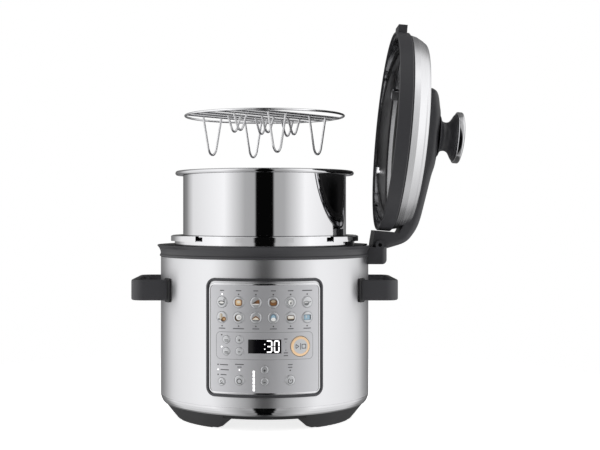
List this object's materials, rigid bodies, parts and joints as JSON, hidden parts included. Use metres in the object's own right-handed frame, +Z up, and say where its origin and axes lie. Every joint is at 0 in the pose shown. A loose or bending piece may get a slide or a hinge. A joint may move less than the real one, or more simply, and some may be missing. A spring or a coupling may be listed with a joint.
{
  "type": "electric pressure cooker",
  "caption": "Round steel pressure cooker with a side-hinged lid held open, raised pot, wire rack, curved button panel and two handles.",
  "frame": {"origin": "on the pot's vertical axis, at floor level under the feet", "axes": "+Z up, the control panel faces -Y, the lid's hinge is at +X"},
  "size_m": [0.454, 0.3158, 0.5358],
  "materials": {
    "brushed_shell": "vertical brushed satin",
    "polished_steel": "mirror polished",
    "rack_wire": "bright nickel",
    "dark_plastic": "satin moulded",
    "well_aluminium": "spun satin",
    "faceplate_silver": "satin silver",
    "button_silver": "satin silver caps",
    "start_amber": "warm lit ring",
    "display_black": "gloss black lens",
    "lamp_white": "clear light guides",
    "circuit_green": "solder resist",
    "soft_rubber": "moulded",
    "silicone": "translucent grey silicone"
  },
  "bodies": {
    "root": {"outer_shell": "brushed_shell", "chrome_base_ring": "polished_steel", "base_tub": "dark_plastic", "foot_pads": "soft_rubber", "collar": "dark_plastic", "pot_well": "well_aluminium", "locking_flange": "polished_steel", "heating_plate": "well_aluminium", "heating_element": "well_aluminium", "sensor_spring": "rack_wire", "handle_left": "dark_plastic", "handle_right": "dark_plastic", "hinge_pin": "polished_steel", "panel_frame": "dark_plastic", "faceplate": "faceplate_silver", "display": "display_black", "panel_lamps": "lamp_white", "switch_carrier": "circuit_green", "control_board": "circuit_green", "power_board": "circuit_green", "inlet_socket": "dark_plastic", "base_screws": "rack_wire"},
    "sensor": {"sensor_plunger": "well_aluminium"},
    "cup": {"condensation_cup": "brushed_shell"},
    "lid": {"lid_arm": "dark_plastic", "lid_cover": "brushed_shell", "lid_ring": "dark_plastic", "pressure_plate": "polished_steel", "lid_gasket": "silicone", "lid_posts": "rack_wire"},
    "lock": {"knob_stem": "dark_plastic", "knob_cap": "polished_steel", "lock_ring": "polished_steel"},
    "indicator": {"pressure_indicator": "lamp_white"},
    "valve": {"steam_valve": "dark_plastic"},
    "pot": {"inner_pot": "polished_steel"},
    "rack": {"wire_rack": "rack_wire"},
    "preset_key_1": {"preset_button_1": "button_silver"},
    "preset_key_2": {"preset_button_2": "button_silver"},
    "preset_key_3": {"preset_button_3": "button_silver"},
    "preset_key_4": {"preset_button_4": "button_silver"},
    "preset_key_5": {"preset_button_5": "button_silver"},
    "preset_key_6": {"preset_button_6": "button_silver"},
    "preset_key_7": {"preset_button_7": "button_silver"},
    "preset_key_8": {"preset_button_8": "button_silver"},
    "preset_key_9": {"preset_button_9": "button_silver"},
    "preset_key_10": {"preset_button_10": "button_silver"},
    "preset_key_11": {"preset_button_11": "button_silver"},
    "preset_key_12": {"preset_button_12": "button_silver"},
    "start_key": {"start_button": "start_amber"},
    "plus_key": {"plus_button": "button_silver"},
    "minus_key": {"minus_button": "button_silver"},
    "warm_key": {"warm_button": "button_silver"},
    "delay_key": {"delay_button": "button_silver"},
    "release_key": {"release_button": "button_silver"},
    "pressure_key": {"pressure_button": "button_silver"},
    "up_key": {"up_button": "button_silver"},
    "down_key": {"down_button": "button_silver"},
    "light_key": {"light_button": "button_silver"}
  },
  "joints": [
    {"name": "lid_hinge", "type": "hinge", "parent": "root", "child": "lid", "pos_m": [0.1565, 0, 0.234], "axis": [0, 1, 0], "range_deg": [-95, 0]},
    {"name": "knob_turn", "type": "hinge", "parent": "lid", "child": "lock", "pos_m": [0.18508, 0, 0.3886], "axis": [0.9962, 0, -0.0872], "range_deg": [0, 30]},
    {"name": "indicator_rise", "type": "slide", "parent": "lid", "child": "indicator", "axis": [0.9962, 0, -0.0872], "range_m": [0, 0.003]},
    {"name": "valve_rise", "type": "slide", "parent": "lid", "child": "valve", "axis": [0.9962, 0, -0.0872], "range_m": [0, 0.0025]},
    {"name": "pot_lift", "type": "slide", "parent": "root", "child": "pot", "axis": [0, 0, 1], "range_m": [-0.082, 0]},
    {"name": "rack_lift", "type": "slide", "parent": "pot", "child": "rack", "axis": [0, 0, 1], "range_m": [-0.178, 0]},
    {"name": "sensor_press", "type": "slide", "parent": "root", "child": "sensor", "axis": [0, 0, 1], "range_m": [-0.003, 0], "deforming": ["sensor_spring"]},
    {"name": "cup_slide", "type": "slide", "parent": "root", "child": "cup", "axis": [0, 1, 0], "range_m": [0, 0.03]},
    {"name": "preset_key_1_press", "type": "slide", "parent": "root", "child": "preset_key_1", "axis": [0.372, 0.9282, 0], "range_m": [0, 0.0008], "stiffness_N_per_m": 400},
    {"name": "preset_key_2_press", "type": "slide", "parent": "root", "child": "preset_key_2", "axis": [0.2267, 0.974, 0], "range_m": [0, 0.0008], "stiffness_N_per_m": 400},
    {"name": "preset_key_3_press", "type": "slide", "parent": "root", "child": "preset_key_3", "axis": [0.0762, 0.9971, 0], "range_m": [0, 0.0008], "stiffness_N_per_m": 400},
    {"name": "preset_key_4_press", "type": "slide", "parent": "root", "child": "preset_key_4", "axis": [-0.0762, 0.9971, 0], "range_m": [0, 0.0008], "stiffness_N_per_m": 400},
    {"name": "preset_key_5_press", "type": "slide", "parent": "root", "child": "preset_key_5", "axis": [-0.2267, 0.974, 0], "range_m": [0, 0.0008], "stiffness_N_per_m": 400},
    {"name": "preset_key_6_press", "type": "slide", "parent": "root", "child": "preset_key_6", "axis": [-0.372, 0.9282, 0], "range_m": [0, 0.0008], "stiffness_N_per_m": 400},
    {"name": "preset_key_7_press", "type": "slide", "parent": "root", "child": "preset_key_7", "axis": [0.372, 0.9282, 0], "range_m": [0, 0.0008], "stiffness_N_per_m": 400},
    {"name": "preset_key_8_press", "type": "slide", "parent": "root", "child": "preset_key_8", "axis": [0.2267, 0.974, 0], "range_m": [0, 0.0008], "stiffness_N_per_m": 400},
    {"name": "preset_key_9_press", "type": "slide", "parent": "root", "child": "preset_key_9", "axis": [0.0762, 0.9971, 0], "range_m": [0, 0.0008], "stiffness_N_per_m": 400},
    {"name": "preset_key_10_press", "type": "slide", "parent": "root", "child": "preset_key_10", "axis": [-0.0762, 0.9971, 0], "range_m": [0, 0.0008], "stiffness_N_per_m": 400},
    {"name": "preset_key_11_press", "type": "slide", "parent": "root", "child": "preset_key_11", "axis": [-0.2267, 0.974, 0], "range_m": [0, 0.0008], "stiffness_N_per_m": 400},
    {"name": "preset_key_12_press", "type": "slide", "parent": "root", "child": "preset_key_12", "axis": [-0.372, 0.9282, 0], "range_m": [0, 0.0008], "stiffness_N_per_m": 400},
    {"name": "start_key_press", "type": "slide", "parent": "root", "child": "start_key", "axis": [-0.3122, 0.95, 0], "range_m": [0, 0.0008], "stiffness_N_per_m": 400},
    {"name": "plus_key_press", "type": "slide", "parent": "root", "child": "plus_key", "axis": [0.2192, 0.9757, 0], "range_m": [0, 0.0008], "stiffness_N_per_m": 400},
    {"name": "minus_key_press", "type": "slide", "parent": "root", "child": "minus_key", "axis": [0.2192, 0.9757, 0], "range_m": [0, 0.0008], "stiffness_N_per_m": 400},
    {"name": "warm_key_press", "type": "slide", "parent": "root", "child": "warm_key", "axis": [0.334, 0.9426, 0], "range_m": [0, 0.0008], "stiffness_N_per_m": 400},
    {"name": "delay_key_press", "type": "slide", "parent": "root", "child": "delay_key", "axis": [0.334, 0.9426, 0], "range_m": [0, 0.0008], "stiffness_N_per_m": 400},
    {"name": "release_key_press", "type": "slide", "parent": "root", "child": "release_key", "axis": [0.3746, 0.9272, 0], "range_m": [0, 0.0008], "stiffness_N_per_m": 400},
    {"name": "pressure_key_press", "type": "slide", "parent": "root", "child": "pressure_key", "axis": [0.2192, 0.9757, 0], "range_m": [0, 0.0008], "stiffness_N_per_m": 400},
    {"name": "up_key_press", "type": "slide", "parent": "root", "child": "up_key", "axis": [0, 1, 0], "range_m": [0, 0.0008], "stiffness_N_per_m": 400},
    {"name": "down_key_press", "type": "slide", "parent": "root", "child": "down_key", "axis": [0, 1, 0], "range_m": [0, 0.0008], "stiffness_N_per_m": 400},
    {"name": "light_key_press", "type": "slide", "parent": "root", "child": "light_key", "axis": [-0.2233, 0.9748, 0], "range_m": [0, 0.0008], "stiffness_N_per_m": 400}
  ],
  "couplings": [
    {"joint": "pot_lift", "follows": "lid_hinge", "m_per_rad": 0.049455},
    {"joint": "rack_lift", "follows": "lid_hinge", "m_per_rad": 0.10735},
    {"joint": "sensor_press", "follows": "lid_hinge", "m_per_rad": 0.0018093}
  ]
}
